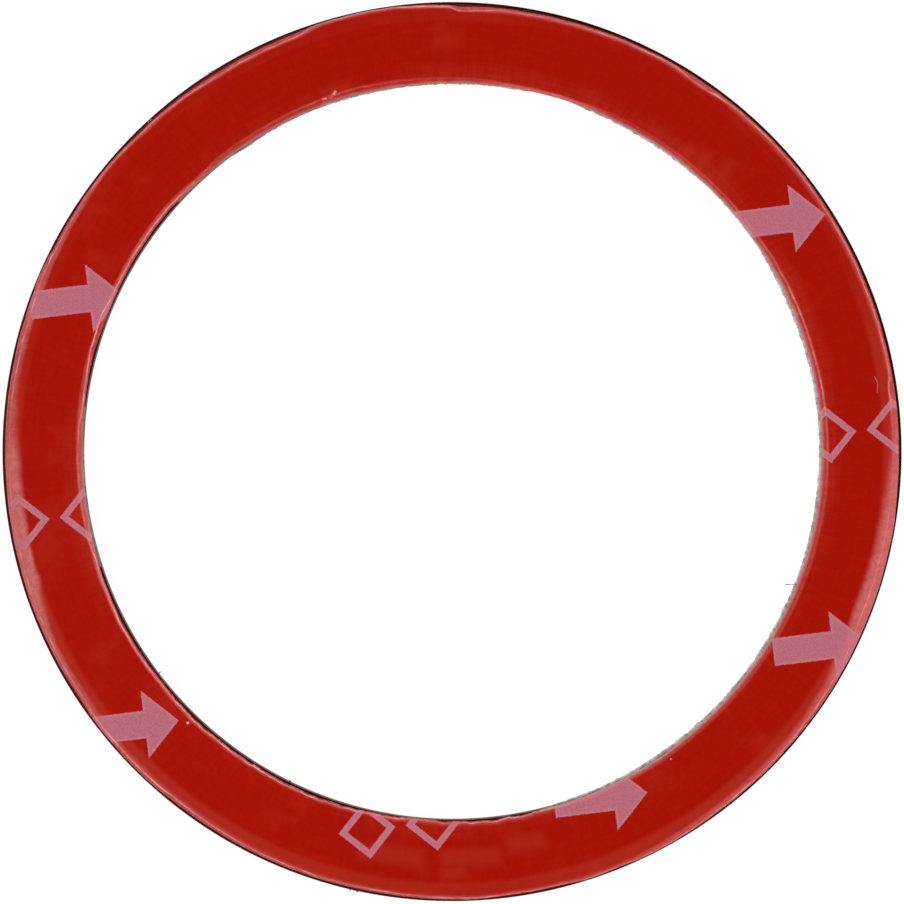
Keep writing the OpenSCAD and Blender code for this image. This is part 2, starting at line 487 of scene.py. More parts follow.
def place_group(finish, tree, **values):
    node = finish.add("ShaderNodeGroup", node_tree=tree)
    for label, value in values.items():
        finish.feed(node.inputs[label.replace("_", " ")], value)
    return node.outputs


def rgb(red, green, blue):
    """A colour given as it looks on a screen, from 0 to 255, turned into light."""
    def light(c):
        c /= 255
        return c / 12.92 if c <= 0.04045 else ((c + 0.055) / 1.055) ** 2.4

    return light(red), light(green), light(blue), 1.0


# Effects that several marks or finishes share

def fine_grain_group():
    """Small uneven grain of a surface, as a colour change and a height."""
    tree, g, given, out = new_group(
        "fine grain",
        (("Place", "Vector", None), ("Scale", "Float", 9000.0), ("Amount", "Float", 0.5)),
        (("Value", "Float"), ("Height", "Float")),
    )
    coarse = g.grain(given["Place"], given["Scale"], 4.0, 0.6)
    wide = g.grain(given["Place"], g.math("MULTIPLY", given["Scale"], 0.08), 2.0)
    both = g.math("ADD", g.math("MULTIPLY", coarse, 0.7), g.math("MULTIPLY", wide, 0.3))
    centred = g.math("SUBTRACT", both, 0.5)
    g.join(g.math("MULTIPLY", centred, given["Amount"]), out["Value"])
    g.join(both, out["Height"])
    return tree


# Widths in the loose strip along an edge, in millimetres
CREASE_WAVER = 0.16
GLOW_WIDTH = 0.13
THREAD_CORE = 0.005
THREAD_WIDTH = 0.06
EDGE_REFLECTION_WIDTH = 0.2


def edge_band_group():
    """Painted light along an edge: the loose strip painted pale as the reflection of the air under it, a
    painted highlight on the crease in it, and a painted sheen and a painted grey reflection at the cut beside
    it.
    """
    tree, g, given, out = new_group(
        "loose edge",
        [(name, "Float", 0.5) for name in (
            "From edge", "Width", "Softness", "Paleness", "Crease", "Gleam", "Haze", "Haze start", "Haze end",
            "Frost", "Wobble", "Drift",
        )],
        [(name, "Float") for name in ("Pale", "Glow", "Bright", "Haze", "Frost")],
    )
    from_edge, wobble = given["From edge"], given["Wobble"]
    # The strip that has let go is painted pale, as the reflection of the air under it, as far as the line
    # where the film is stuck
    start = g.math("ADD", given["Width"], given["Softness"])
    end = g.math("SUBTRACT", given["Width"], given["Softness"])
    strip = g.ramp(from_edge, end, start, 1.0, 0.0)
    pale = g.math("MULTIPLY", strip, given["Paleness"])
    g.join(g.math("MULTIPLY", pale, g.ramp(wobble, 0.34, 0.66, 0.7, 1.12)), out["Pale"])
    # The crease wavers a little, and its painted highlight spreads to both sides of its line
    waver = g.math("MULTIPLY", g.math("SUBTRACT", wobble, 0.5), CREASE_WAVER)
    past_crease = g.math("SUBTRACT", from_edge, given["Crease"])
    off = g.math("ABSOLUTE", g.math("ADD", past_crease, waver))
    lit = g.math("MULTIPLY", given["Gleam"], g.ramp(wobble, 0.34, 0.6, 0.6, 1.1))
    g.join(g.math("MULTIPLY", g.ramp(off, 0.0, GLOW_WIDTH, 1.0, 0.0), lit), out["Glow"])
    # A thread of light in the middle of the crease comes and goes with the drift
    strong = g.ramp(given["Drift"], 0.4, 0.68, 0.12, 0.9)
    thread = g.math("MULTIPLY", g.ramp(off, THREAD_CORE, THREAD_WIDTH, 1.0, 0.0), strong)
    thread_share = g.ramp(given["Gleam"], 0.2, 0.8, 0.0, 0.8)
    g.join(g.math("MULTIPLY", thread, thread_share), out["Bright"])
    # The painted sheen and the painted grey reflection fade away from the edge
    fading = g.ramp(from_edge, given["Haze start"], given["Haze end"], 1.0, 0.0)
    sheened = g.math("MULTIPLY", fading, given["Haze"])
    g.join(g.math("MULTIPLY", sheened, g.ramp(wobble, 0.2, 0.7, 0.75, 1.1)), out["Haze"])
    edge_reflected = g.math("MULTIPLY", g.ramp(from_edge, 0.0, EDGE_REFLECTION_WIDTH, 1.0, 0.0), given["Frost"])
    g.join(g.math("MULTIPLY", edge_reflected, g.ramp(wobble, 0.3, 0.6, 0.7, 1.15)), out["Frost"])
    return tree


def bar_group():
    """How far a place lies outside a turned bar. Inside the bar the distance is negative."""
    tree, g, given, out = new_group(
        "ink bar",
        (
            ("Place", "Vector", None), ("Middle", "Vector", (0, 0, 0)), ("Half length", "Float", 1.0),
            ("Half width", "Float", 1.0), ("Turn", "Float", 0.0),
        ),
        (("Outside", "Float"),),
    )
    offset = g.vector("SUBTRACT", given["Place"], given["Middle"]).outputs[0]
    turned = g.split(g.turned(offset, given["Turn"]))
    along = g.math("SUBTRACT", g.math("ABSOLUTE", turned["X"]), given["Half length"])
    across = g.math("SUBTRACT", g.math("ABSOLUTE", turned["Y"]), given["Half width"])
    g.join(g.math("MAXIMUM", along, across), out["Outside"])
    return tree


fine_grain = fine_grain_group()
edge_band = edge_band_group()
ink_bar = bar_group()

# Red release film

FILM_RED = rgb(161, 17, 0)
FILM_RED_DEEP = rgb(155, 10, 0)
FILM_RED_RUBBED = rgb(166, 28, 10)
# Painted sheen, a lighter red for soft reflections on the gloss
FILM_SHEEN_RED = rgb(169, 38, 25)
# Painted reflection of the air gap under the loose film
FILM_PALE = rgb(200, 112, 112)
# Painted highlights of the crease, faint and full, and of the thread in its middle; the brightest colour also
# marks bright wear
FILM_GLOW_FAINT = rgb(214, 84, 74)
FILM_GLOW = rgb(220, 118, 120)
FILM_BRIGHT = rgb(246, 188, 188)
# Painted grey reflection along the film's cut edge
FILM_EDGE_REFLECTION = rgb(176, 138, 133)
INK = rgb(180, 108, 122)
INK_RIM = rgb(194, 127, 140)

# Small wear on the film, as (x, y, half length, half width, turn in degrees), in millimetres and degrees
SPECKS = ((13.6, -19.1, 0.02, 0.02, 0), (-16.41, -16.85, 0.06, 0.05, 20))
NICKS = ((-7.29, 22.29, 0.1, 0.03, 62), (-7.91, 21.91, 0.1, 0.01, 8))
DENTS = ((-7.46, 22.07, 0.16, 0.05, 60),)
SCRATCHES = ((26.43, 3.96, 0.31, 0.01, 88), (26.34, 4.47, 0.23, 0.01, 117))
# Patches of painted sheen, lighter red where the gloss would reflect soft light, given the same way
SHEEN_PATCHES = (
    (15.5, 16.9, 0.4, 0.15, 20), (16.9, 17.3, 0.5, 0.08, 70), (15.6, 18.1, 0.4, 0.1, 60),
    (14.5, 18.5, 0.4, 0.08, 40), (-7.1, 22.35, 0.6, 0.1, 20), (0.1, -26.1, 0.5, 0.12, 10),
    (1.2, -25.2, 1.6, 0.3, 3), (-3.8, -25.0, 1.8, 0.3, -8), (4.6, -24.3, 0.9, 0.2, 12),
)
# How far out from their outlines the patches of painted sheen are full, how far out they end, and how strong
# they are
SHEEN_PATCH_REACH = -0.25, 0.7, 0.55
# Each kind of bright wear, with the same three values
BRIGHT_WEAR = (
    (SPECKS, -0.03, 0.05, 0.85), (NICKS, -0.03, 0.09, 0.55), (DENTS, -0.05, 0.12, 0.12),
    (SCRATCHES, -0.01, 0.04, 0.2),
)

# Middles of the printed marks in the slanted rows of the print, in millimetres
BOLD_MARKS = ((21.9, 11.8), (21.2, -14.8), (6.55, -22.5), (-21.8, -14.5), (-22.0, 12.2))
THIN_MARKS = ((25.4, -1.8), (-6.0, -22.7), (-25.0, -1.1))
PRINT_TILT = math.radians(7)

# Sizes of the printed marks, in millimetres
SHAFT_BACK = 0.8
SHAFT_HALF_LENGTH = 2.1
SHAFT_HALF_WIDTH = 0.85
HEAD_TIP = 2.9
HEAD_LENGTH = 2.1
DIAMOND_SHIFT = 2.1
DIAMOND_HALF_SIDE = 1.25
DIAMOND_HALF_LINE = 0.19
# Turns a distance along the arrow into one square to the sloped side of its head
SQUARE_TO_SLOPE = 0.72
# Farther than any mark lies from anywhere on the film
FAR_OFF = 100.0

# How fast the rubbed streaks change over the film and away from its inner edge, for both kinds
STREAKS_ACROSS = (110, 110, 0), (0, 0, 0.5)
STREAKS_ALONG = (260, 260, 0), (0, 0, 5)
# Scale, detail and roughness of each grain in the film
STREAK_GRAIN = 1.0, 4.0, 0.6
WOBBLE_GRAIN = 2600.0, 4.0, 0.82
DRIFT_GRAIN = 800.0, 3.0, 0.6
SMUDGE_GRAIN = 190.0, 5.0, 0.65
INK_GRAIN = 11000.0, 3.0, 0.75
# Distances from each edge between which its painted sheen fades out, in millimetres
SHEEN_FADES = {"outer": (0.8, 1.2), "inner": (0.1, 1.5)}


def arrow_outside(f, place, u, v):
    """Distance outside a solid peel arrow with its middle at (u, v), in millimetres."""
    shaft = place_group(
        f, ink_bar, Place=place, Middle=(u - SHAFT_BACK, v, 0), Half_length=SHAFT_HALF_LENGTH,
        Half_width=SHAFT_HALF_WIDTH,
    )[0]
    from_tip = f.split(f.vector("SUBTRACT", place, (u + HEAD_TIP, v, 0)).outputs[0])
    slope = f.math("ADD", from_tip["X"], f.math("ABSOLUTE", from_tip["Y"]))
    back = f.math("SUBTRACT", -HEAD_LENGTH, from_tip["X"])
    head = f.math("MAXIMUM", f.math("MULTIPLY", slope, SQUARE_TO_SLOPE), back)
    return f.math("MINIMUM", shaft, head)


def diamonds_outside(f, place, u, v):
    """Distance outside two hollow diamonds side by side."""
    shapes = []
    for shift in (-DIAMOND_SHIFT, DIAMOND_SHIFT):
        square = place_group(
            f, ink_bar, Place=place, Middle=(u + shift, v, 0), Half_length=DIAMOND_HALF_SIDE,
            Half_width=DIAMOND_HALF_SIDE, Turn=math.pi / 4,
        )[0]
        off_line = f.math("ABSOLUTE", f.math("ADD", square, DIAMOND_HALF_LINE))
        shapes.append(f.math("SUBTRACT", off_line, DIAMOND_HALF_LINE))
    return f.math("MINIMUM", *shapes)


def flat_place(f, object_place):
    """The place across the film in millimetres, whatever its height."""
    return f.scaled(object_place, (1000, 1000, 0))


def print_outside(f, object_place):
    """Distance outside the nearest printed mark."""
    place = f.turned(flat_place(f, object_place), -PRINT_TILT)
    marks = [arrow_outside(f, place, u, v) for u, v in BOLD_MARKS]
    marks += [diamonds_outside(f, place, u, v) for u, v in THIN_MARKS]
    nearest = marks[0]
    for mark in marks[1:]:
        nearest = f.math("MINIMUM", nearest, mark)
    return nearest


def small_spots(f, object_place, spots, full, none, strength):
    """Spots given as (x, y, half length, half width, turn in degrees), as one mask."""
    place = flat_place(f, object_place)
    nearest = FAR_OFF
    for x, y, half_length, half_width, turn in spots:
        outside = place_group(
            f, ink_bar, Place=place, Middle=(x, y, 0), Half_length=half_length, Half_width=half_width,
            Turn=math.radians(-turn),
        )[0]
        nearest = f.math("MINIMUM", nearest, outside)
    return f.ramp(nearest, full, none, strength, 0.0)


def rub_streaks(f, object_place, to_inner):
    """Streaks rubbed into the film, some across the band and some along it."""
    flat = f.scaled(object_place, (1, 1, 0))
    direction = f.vector("NORMALIZE", flat).outputs[0]
    away = f.add("ShaderNodeCombineXYZ")
    f.join(to_inner, away.inputs["Z"])
    layers = []
    for base, (over_film, from_edge) in ((direction, STREAKS_ACROSS), (flat, STREAKS_ALONG)):
        pattern = f.vector("ADD", f.scaled(base, over_film), f.scaled(away.outputs[0], from_edge)).outputs[0]
        layers.append(f.grain(pattern, *STREAK_GRAIN))
    return f.math("MULTIPLY", f.math("ADD", *layers), 0.5)


def edge_looks(f, streaks, wobble, drift, to_edge):
    """What the two edges do to the film, by name. Where they meet the stronger one counts."""
    bands = []
    for side, (sheen_start, sheen_end) in SHEEN_FADES.items():
        loose = f.split_colour(f.attribute(side + "_loose", "Color"))
        crease = f.split_colour(f.attribute(side + "_crease", "Color"))
        sheen = crease[2]
        if side == "inner":
            sheen = f.math("MULTIPLY", sheen, f.ramp(streaks, 0.38, 0.62, 0.35, 1.1))
        bands.append(place_group(
            f, edge_band, From_edge=to_edge[side], Width=loose[0], Softness=loose[1], Paleness=loose[2],
            Crease=crease[0], Gleam=crease[1], Haze=sheen, Haze_start=sheen_start, Haze_end=sheen_end,
            Frost=f.attribute(side + "_frost"), Wobble=wobble, Drift=drift,
        ))
    outer, inner = bands
    return {
        name: f.math("MAXIMUM", outer[name], inner[name])
        for name in ("Pale", "Glow", "Bright", "Haze", "Frost")
    }


def red_film():
    material, f, shader, place = new_material("red release film")
    from_edges = f.split(f.add("ShaderNodeUVMap", uv_map="from_edges").outputs[0])
    wobble = f.grain(place, *WOBBLE_GRAIN)
    drift = f.grain(place, *DRIFT_GRAIN)
    streaks = rub_streaks(f, place, from_edges["Y"])
    to_edge = {"outer": from_edges["X"], "inner": from_edges["Y"]}
    looks = edge_looks(f, streaks, wobble, drift, to_edge)

    # The red of the film where it is stuck, mottled and rubbed, with a painted sheen of lighter red near the
    # edges and in patches
    smudge = f.ramp(f.grain(place, *SMUDGE_GRAIN), 0.5, 0.78, 0.0, 0.8)
    mottled = f.math("ADD", f.math("MULTIPLY", streaks, 0.6), f.math("MULTIPLY", wobble, 0.4))
    red = f.blend(f.ramp(mottled, 0.36, 0.64), FILM_RED_DEEP, FILM_RED)
    red = f.blend(smudge, red, FILM_RED_RUBBED)
    red = f.blend(looks["Haze"], red, FILM_SHEEN_RED)
    red = f.blend(small_spots(f, place, SHEEN_PATCHES, *SHEEN_PATCH_REACH), red, FILM_SHEEN_RED)

    # The print, with a frayed outline and small gaps in the ink
    outside = print_outside(f, place)
    speckle = f.grain(place, *INK_GRAIN)
    frayed = f.math("ADD", outside, f.ramp(speckle, 0.3, 0.7, -0.03, 0.03))
    ink_edge = f.ramp(frayed, -0.02, 0.03, 1.0, 0.0)
    covered = f.math("MULTIPLY", ink_edge, f.ramp(speckle, 0.32, 0.6, 0.66, 1.0))
    ink_colour = f.blend(f.ramp(outside, -0.22, -0.02, 0.0, 0.6), INK, INK_RIM)
    printed = f.blend(covered, red, ink_colour)

    # The loose edges, which show less where ink covers them: the pale strip is painted reflection of the air
    # gap under the lifted film, the crease has a painted highlight and the cut a painted grey reflection
    under_ink = f.math("SUBTRACT", 1.0, f.math("MULTIPLY", covered, 0.6))
    lifted = f.blend(f.math("MULTIPLY", looks["Pale"], under_ink), printed, FILM_PALE)
    glow = looks["Glow"]
    glowing = f.blend(glow, lifted, f.blend(glow, FILM_GLOW_FAINT, FILM_GLOW))
    edge_reflected = f.blend(looks["Frost"], glowing, FILM_EDGE_REFLECTION)
    bright = looks["Bright"]
    for spots, full, none, strength in BRIGHT_WEAR:
        bright = f.math("MAXIMUM", bright, small_spots(f, place, spots, full, none, strength))
    f.join(f.blend(bright, edge_reflected, FILM_BRIGHT), shader.inputs["Base Color"])
    f.join(f.ramp(smudge, 0.0, 0.8, 0.34, 0.5), shader.inputs["Roughness"])
    shader.inputs["Specular IOR Level"].default_value = 0.07
    waves = f.math("MULTIPLY", f.grain(place, 420.0, 2.0), 0.7)
    f.bump(shader, f.math("ADD", waves, f.math("MULTIPLY", wobble, 0.3)), 0.12, 0.03 * MM)
    return material


# Distances of the film's rings from the nearer edge, in millimetres
EDGE_STATIONS = (0, 0.03, 0.07, 0.12, 0.18, 0.25, 0.33, 0.43, 0.56, 0.74, 1.0, 1.35)
# How far in from the cut the film still strays with its edge
STRAY_WIDTH = 1.0
# How much the width of the loose strip wavers, and the least it may be
LOOSE_WAVER = 0.07
LEAST_LOOSE = 0.05
# The film is stiffer than the foam, so it droops by this share of the shoulder's drop
FILM_DROOP = 0.75


def film_edge(degrees, side):
    """How one edge of the film is cut, lies and looks at one angle, with lengths in millimetres."""
    edge = {name: around(degrees, stops) for name, stops in FILM_EDGES[side].items()}
    edge["cut"] = FILM_CUTS[side]
    edge["ends"] = edge["cut"] + edge["stray"] + edge["rag"] * rag(degrees, *EDGE_JAGS[side])
    edge["loose"] *= 1 + LOOSE_WAVER * rag(degrees, *LOOSE_JAGS)
    return edge


def film_height(inside, edge):
    """Height of the film's underside above the tape's flat top, at a distance in from the cut edge."""
    loose = max(LEAST_LOOSE, edge["loose"])
    share = min(1.0, max(0.0, 1 - inside / loose))
    down = 1 - min(1.0, edge["sprung"] / SHOULDER_DROP)
    lift = edge["sprung"] * share * share + FILM_AIR * smooth(share * 3)
    return lift - FILM_DROOP * down * shoulder(inside)


def set_attribute(mesh, name, rows):
    layer = mesh.attributes.new(name, "FLOAT_COLOR", "POINT")
    for item, row in zip(layer.data, rows):
        item.color = row


def set_level(mesh, name, values):
    mesh.attributes.new(name, "FLOAT", "POINT").data.foreach_set("value", values)


def release_film():
    inner_cut, outer_cut = FILM_CUTS["inner"], FILM_CUTS["outer"]
    radii = [inner_cut + d for d in EDGE_STATIONS] + [(inner_cut + outer_cut) / 2]
    radii += [outer_cut - d for d in reversed(EDGE_STATIONS)]
    film = sweep_rings("release_film", FILM_AROUND, [(r * MM, tape_top) for r in radii], False)
    mesh = film.data
    if mesh.polygons[0].normal.z < 0:
        mesh.flip_normals()
    from_edges = []
    edges = {"outer": [], "inner": []}
    for vertex in mesh.vertices:
        degrees, radius = polar(vertex.co)
        outer, inner = film_edge(degrees, "outer"), film_edge(degrees, "inner")
        to_outer, to_inner = outer["cut"] - radius, radius - inner["cut"]
        fade_out, fade_in = smooth(1 - to_outer / STRAY_WIDTH), smooth(1 - to_inner / STRAY_WIDTH)
        radius += (outer["ends"] - outer["cut"]) * fade_out + (inner["ends"] - inner["cut"]) * fade_in
        height = film_height(to_outer, outer) if to_outer < to_inner else film_height(to_inner, inner)
        a = math.radians(degrees)
        vertex.co = (radius * MM * math.cos(a), radius * MM * math.sin(a), tape_top + height * MM)
        from_edges.append((to_outer, to_inner))
        edges["outer"].append(outer)
        edges["inner"].append(inner)
    # Each edge's look goes on the film as attributes, among them its painted light: the strip's paleness, the
    # crease's highlight, the sheen and the grey reflection at the cut
    for side, rows in edges.items():
        set_attribute(mesh, side + "_loose", [(row["loose"], row["soft"], row["pale"], 1) for row in rows])
        set_attribute(mesh, side + "_crease", [(row["crease"], row["gleam"], row["sheen"], 1) for row in rows])
        set_level(mesh, side + "_frost", [row["edge_reflection"] for row in rows])
    uv = mesh.uv_layers.new(name="from_edges")
    for loop in mesh.loops:
        uv.data[loop.index].uv = from_edges[loop.vertex_index]
    shift_hole(film)
    give_thickness(film, FILM_THICKNESS * MM)
    smooth_shading(film, 50)
    dress(film, red_film(), "red_release_film", "release_liner")


# Dark foam tape

# Red light from the film reaches this far down the foam's walls, and is full down to the second depth
RED_LIT_DEPTH = 0.3
RED_LIT_FULL = 0.08

# Points of a half section, up a wall and in over a shoulder
WALL_STEPS = 5
SHOULDER_STEPS = 4

# Roughness of the cut walls, as a depth in millimetres, and how fine its two grains are
WALL_ROUGHNESS = 0.02
WALL_COARSE_GRAIN = 5200
WALL_FINE_GRAIN = 14000
# Nearer to a cut than this, a point of the tape lies on its wall
WALL_REACH = 0.08


def dark_foam():
    material, f, shader, place = new_material("dark acrylic foam")
    grain = place_group(f, fine_grain, Place=place, Scale=12000.0, Amount=0.9)
    share = f.math("ADD", 0.5, grain["Value"])
    plain = f.blend(share, rgb(17, 11, 10), rgb(38, 27, 25))
    red_lit = f.blend(share, rgb(84, 17, 11), rgb(126, 34, 26))
    by_the_film = f.ramp(f.split(place)["Z"], tape_top - RED_LIT_DEPTH * MM, tape_top - RED_LIT_FULL * MM)
    f.join(f.blend(by_the_film, plain, red_lit), shader.inputs["Base Color"])
    shader.inputs["Specular IOR Level"].default_value = 0.1
    shader.inputs["Roughness"].default_value = 0.7
    f.bump(shader, grain["Height"], 0.5, 0.02 * MM)
    return material


def tape_profile():
    """Half section of the tape in (radius, height), from the inner foot over the top to the outer foot."""
    outer_r = tape_outer_r / MM
    foot, top = steel_top / MM, tape_top / MM
    wall_height = top - SHOULDER_DROP - foot
    points = []
    for k in range(WALL_STEPS + 1):
        points.append((WALL_BOW * math.sin(math.pi * k / WALL_STEPS), foot + wall_height * k / WALL_STEPS))
    for k in range(1, SHOULDER_STEPS + 1):
        inside = SHOULDER_WIDTH * k / SHOULDER_STEPS
        points.append((inside, top - shoulder(inside)))
    inner = [(TAPE_INNER_CUT + d, z) for d, z in points]
    outer = [(outer_r - d, z) for d, z in reversed(points)]
    return [(r * MM, z * MM) for r, z in inner + outer]


def foam_ring():
    tape = sweep_rings("foam_ring", TAPE_AROUND, tape_profile(), True)
    foot, top = steel_top, tape_top - SHOULDER_DROP * MM
    for vertex in tape.data.vertices:
        x, y, z = vertex.co
        radius = math.hypot(x, y)
        from_cut = min(abs(radius - bore_r - TAPE_SETBACK * MM), abs(tape_outer_r - radius))
        if from_cut >= WALL_REACH * MM or z > top + 0.01 * MM:
            continue
        up = (z - foot) / (top - foot)
        rough = noise.noise(Vector((x, y, z * 1.4)) * WALL_COARSE_GRAIN)
        rough += 0.5 * noise.noise(Vector((x, y, z)) * WALL_FINE_GRAIN)
        k = 1 + WALL_ROUGHNESS * MM * rough * smooth(4 * up) / radius
        vertex.co = (x * k, y * k, z)
    shift_hole(tape)
    smooth_shading(tape, 60)
    dress(tape, dark_foam(), "acrylic_foam", "foam_tape")


# Torn adhesive round the hole

# The fringe grows out of the foam's wall between these heights above the steel, with its tip between them
FRINGE_LOWEST = 0.05
FRINGE_HIGHEST = 0.2
FRINGE_TIP_UP = 0.06
FRINGE_DEPTH = 0.1
# Where it reaches less than this, its tip stays back in the foam
LEAST_REACH = 0.005
TUCKED_IN = 0.01


def torn_adhesive_painted_lit():
    material, f, shader, place = new_material("painted-lit torn adhesive")
    grain = place_group(f, fine_grain, Place=place, Scale=15000.0, Amount=0.8)
    patchy = f.ramp(f.grain(place, 2200.0, 3.0, 0.6), 0.38, 0.62, -0.35, 0.35)
    share = f.math("ADD", 0.5, f.math("ADD", patchy, grain["Value"]), clamp=True)
    # Torn adhesive painted pale grey, palest at the tip: the pale is painted light, standing in for the lit
    # side of the hole's wall. The darker, redder root is painted shade and red light under the film's edge.
    root = f.blend(share, rgb(104, 68, 64), rgb(150, 112, 106))
    tip = f.blend(share, rgb(146, 133, 126), rgb(208, 199, 192))
    f.join(f.blend(f.attribute("towards_tip"), root, tip), shader.inputs["Base Color"])
    shader.inputs["Roughness"].default_value = 0.6
    return material


def adhesive_fringe(finish):
    root_r = TAPE_INNER_CUT + WALL_BOW
    tip_r = root_r - FRINGE_DEPTH
    lowest, highest = steel_top / MM + FRINGE_LOWEST, steel_top / MM + FRINGE_HIGHEST
    profile = [
        (root_r * MM, lowest * MM), (tip_r * MM, (lowest + FRINGE_TIP_UP) * MM), (root_r * MM, highest * MM),
    ]
    fringe = sweep_rings("adhesive_fringe", FRINGE_AROUND, profile, True)
    towards_tip = []
    for vertex in fringe.data.vertices:
        x, y, z = vertex.co
        degrees, radius = polar(vertex.co)
        at_tip = radius < (root_r + tip_r) / 2
        towards_tip.append(1.0 if at_tip else 0.0)
        if not at_tip:
            continue
        reach = around(degrees, FRINGE_REACH)
        torn = 1 + 0.18 * rag(degrees, *COARSE_TEARS) + 0.14 * rag(degrees, *FINE_TEARS)
        there = bore_r / MM - reach * torn if reach > LEAST_REACH else root_r - TUCKED_IN
        k = there / radius
        vertex.co = (x * k, y * k, z + 0.04 * MM * rag(degrees, *TIP_JAGS))
    set_level(fringe.data, "towards_tip", towards_tip)
    shift_hole(fringe)
    smooth_shading(fringe, 60)
    dress(fringe, finish, "acrylic_foam")


# Stamped steel ring

# The coat takes a red tinge next to the film, from the light that comes through it
RED_LIT_COAT = rgb(62, 15, 10)
# Points of the straight wall, as shares of the sheet's thickness, and steps of the rolled edge below it
WALL_SHARES = 0.72, 0.5, 0.36
ROLL_STEPS = 5


def coated_steel():
    material, f, shader, place = new_material("coated steel")
    height = f.split(place)["Z"]
    grain = place_group(f, fine_grain, Place=place, Scale=7000.0, Amount=0.6)
    flat = f.scaled(place, (1, 1, 0))
    radius = f.vector("LENGTH", flat).outputs["Value"]
    from_hole = f.vector("SUBTRACT", flat, (HOLE_SHIFT[0] * MM, HOLE_SHIFT[1] * MM, 0)).outputs[0]
    hole_radius = f.vector("LENGTH", from_hole).outputs["Value"]
    off_bore = f.math("SUBTRACT", hole_radius, bore_r)
    off_rim = f.math("SUBTRACT", ring_r, radius)
    off_wall = f.math("MINIMUM", off_bore, off_rim)

    # The sheared walls are bare down to a ragged line above the rolled edge
    ragged = f.math("MULTIPLY", f.math("SUBTRACT", f.grain(place, 3000.0, 3.0), 0.5), 0.08 * MM)
    low = f.ramp(f.math("ADD", height, ragged), 0.08 * MM, 0.13 * MM)
    bare = f.math("MULTIPLY", f.ramp(off_wall, 0.02 * MM, 0.035 * MM, 1.0, 0.0), low)

    # Upright streaks, burnished in the lower half of the wall and torn above it. The red in both, deepest in
    # the torn band next to the film, is painted red light coming through the film.
    streaks = f.grain(f.scaled(place, (1, 1, 0.06)), 16000.0, 3.0, 0.7)
    burnished = f.blend(streaks, rgb(112, 80, 70), rgb(156, 118, 104))
    torn = f.blend(streaks, rgb(98, 38, 29), rgb(130, 60, 49))
    upper = f.ramp(f.math("ADD", height, f.math("MULTIPLY", ragged, 1.5)), 0.26 * MM, 0.34 * MM)
    wall_colour = f.blend(upper, burnished, torn)

    coat = f.blend(f.math("ADD", 0.5, grain["Value"]), rgb(12, 9, 9), rgb(26, 22, 22))
    by_the_film = f.ramp(height, steel_top - 0.05 * MM, steel_top - 0.01 * MM)
    coat = f.blend(by_the_film, coat, RED_LIT_COAT)
    f.join(f.blend(bare, coat, wall_colour), shader.inputs["Base Color"])
    f.join(f.math("MULTIPLY", bare, 0.35), shader.inputs["Metallic"])
    f.join(f.ramp(bare, 0.0, 1.0, 0.6, 0.5), shader.inputs["Roughness"])
    f.join(f.ramp(by_the_film, 0.0, 1.0, 0.3, 0.08), shader.inputs["Specular IOR Level"])
    relief = f.math("MULTIPLY", grain["Height"], 0.5)
    f.bump(shader, f.math("ADD", relief, f.math("MULTIPLY", streaks, bare)), 0.35, 0.012 * MM)
    return material


def steel_profile():
    """Whole section of the stamped ring in (radius, height), from the inner top corner round below."""
    inner_r, outer_r, top = bore_r / MM, ring_r / MM, steel_top / MM
    side = [(DEBURR, top), (0, top - DEBURR)] + [(0, top * share) for share in WALL_SHARES]
    for k in range(ROLL_STEPS + 1):
        t = math.radians(90 * k / ROLL_STEPS)
        side.append((ROLL_RADIUS * (1 - math.cos(t)), ROLL_RADIUS * (1 - math.sin(t))))
    inner = [(inner_r + d - HOLE_LEAN * smooth((top - z) / (top - ROLL_RADIUS)), z) for d, z in side]
    outer = [(outer_r - d, z) for d, z in reversed(side)]
    return [(r * MM, z * MM) for r, z in inner + outer]


def steel_plate():
    plate = sweep_rings("steel_plate", STEEL_AROUND, steel_profile(), True)
    shift_hole(plate)
    smooth_shading(plate, 35)
    dress(plate, coated_steel(), "coated_steel", "steel_ring")


# Strand and crumbs of adhesive

# Ends, radius and bends of the strand in millimetres, and how thick it is at each step
STRAND_FOOT = 21.42, -8.27, 0.62
STRAND_TIP = 20.7, -8.25, 0.68
STRAND_RADIUS = 0.035
STRAND_SIDEWAYS = 0.014
STRAND_ARCH = 0.05
STRAND_THICKNESS = 0.8, 0.7, 0.85, 1.1, 1.4, 1.4, 1.0, 0.5

# How lumpy the crumbs are, and how fine their lumps
CRUMB_SWELL = 0.5
CRUMB_GRAIN = 16000
# Crumbs as (angle in degrees, distance from the ring's middle, height, radius, how pale)
CRUMBS = (
    (121.9, 27.98, 0.5, 0.05, 0.6), (122.3, 28.0, 0.5, 0.06, 0.6), (122.7, 28.0, 0.5, 0.06, 0.6),
    (123.1, 27.98, 0.5, 0.055, 0.6), (123.5, 27.97, 0.5, 0.045, 0.6), (132.3, 27.84, 0.85, 0.05, 0.2),
    (132.6, 27.84, 0.85, 0.06, 0.2), (256.9, 28.0, 0.5, 0.05, 0.1), (257.4, 28.0, 0.5, 0.045, 0.1),
    (257.8, 28.02, 0.5, 0.06, 0.1), (236.4, 22.94, 0.5, 0.05, 0.5), (236.8, 22.93, 0.5, 0.06, 0.5),
    (237.2, 22.93, 0.5, 0.06, 0.5), (237.6, 22.94, 0.5, 0.05, 0.5), (243.8, 22.87, 0.3, 0.06, 1),
    (217.1, 22.89, 0.25, 0.045, 1), (217.05, 22.83, 0.25, 0.035, 1), (217.1, 22.77, 0.25, 0.03, 1),
)


